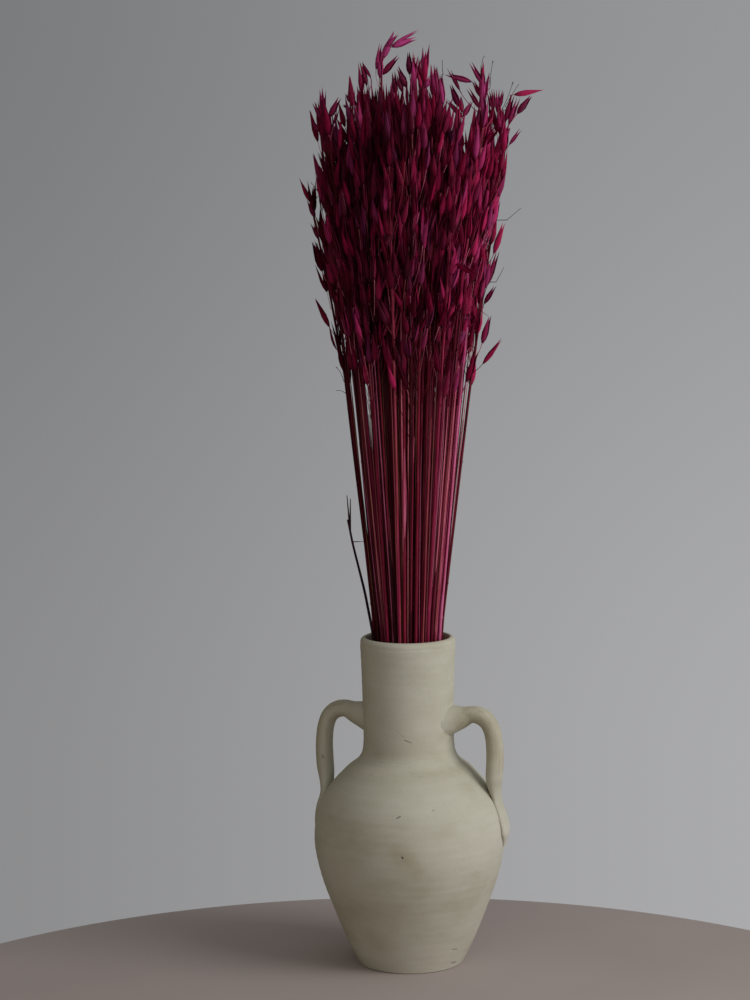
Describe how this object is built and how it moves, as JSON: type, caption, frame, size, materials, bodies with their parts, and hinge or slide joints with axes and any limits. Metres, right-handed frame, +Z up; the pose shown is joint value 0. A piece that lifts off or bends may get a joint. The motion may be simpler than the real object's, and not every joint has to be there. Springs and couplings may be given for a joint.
{
  "type": "dried oats in vase",
  "caption": "Bunch of dyed dried oats standing in an unglazed clay vase with two strap handles.",
  "frame": {"origin": "the centre of the flat underside of the vase", "axes": "+Z up along the vase's axis, X through the two handles, +Y to the back as pictured, where the vase stands turned by 17 degrees with its +X handle nearer the camera"},
  "size_m": [0.1796, 0.1565, 0.7138],
  "materials": {
    "clay": "matte",
    "dyed_oats": "matte",
    "dark_straw": "matte"
  },
  "bodies": {
    "root": {"vase": "clay", "broken_straw": "dark_straw", "oat_stalks_01": "dyed_oats", "oat_stalks_02": "dyed_oats", "oat_stalks_03": "dyed_oats", "oat_stalks_04": "dyed_oats", "oat_stalks_05": "dyed_oats", "oat_stalks_06": "dyed_oats", "oat_stalks_07": "dyed_oats", "oat_stalks_08": "dyed_oats", "oat_stalks_09": "dyed_oats", "oat_stalks_10": "dyed_oats", "oat_stalks_11": "dyed_oats", "oat_stalks_12": "dyed_oats", "oat_stalks_13": "dyed_oats", "oat_stalks_14": "dyed_oats", "oat_stalks_15": "dyed_oats", "oat_stalks_16": "dyed_oats", "oat_stalks_17": "dyed_oats", "oat_stalks_18": "dyed_oats", "oat_stalks_19": "dyed_oats", "oat_stalks_20": "dyed_oats", "oat_stalks_21": "dyed_oats", "oat_stalks_22": "dyed_oats", "oat_stalks_23": "dyed_oats", "oat_stalks_24": "dyed_oats", "oat_stalks_25": "dyed_oats", "oat_stalks_26": "dyed_oats", "oat_stalks_27": "dyed_oats", "oat_stalks_28": "dyed_oats", "oat_stalks_29": "dyed_oats", "oat_stalks_30": "dyed_oats", "oat_stalks_31": "dyed_oats", "oat_stalks_32": "dyed_oats", "oat_stalks_33": "dyed_oats", "oat_stalks_34": "dyed_oats", "oat_stalks_35": "dyed_oats", "oat_stalks_36": "dyed_oats", "oat_stalks_37": "dyed_oats", "oat_stalks_38": "dyed_oats", "oat_stalks_39": "dyed_oats", "oat_stalks_40": "dyed_oats", "oat_stalks_41": "dyed_oats", "oat_stalks_42": "dyed_oats", "oat_stalks_43": "dyed_oats", "oat_stalks_44": "dyed_oats", "oat_stalks_45": "dyed_oats", "oat_stalks_46": "dyed_oats", "oat_stalks_47": "dyed_oats", "oat_stalks_48": "dyed_oats", "oat_stalks_49": "dyed_oats", "oat_stalks_50": "dyed_oats", "oat_stalks_51": "dyed_oats", "oat_stalks_52": "dyed_oats", "oat_stalks_53": "dyed_oats", "oat_stalks_54": "dyed_oats", "oat_stalks_55": "dyed_oats", "oat_stalks_56": "dyed_oats"}
  },
  "joints": []
}
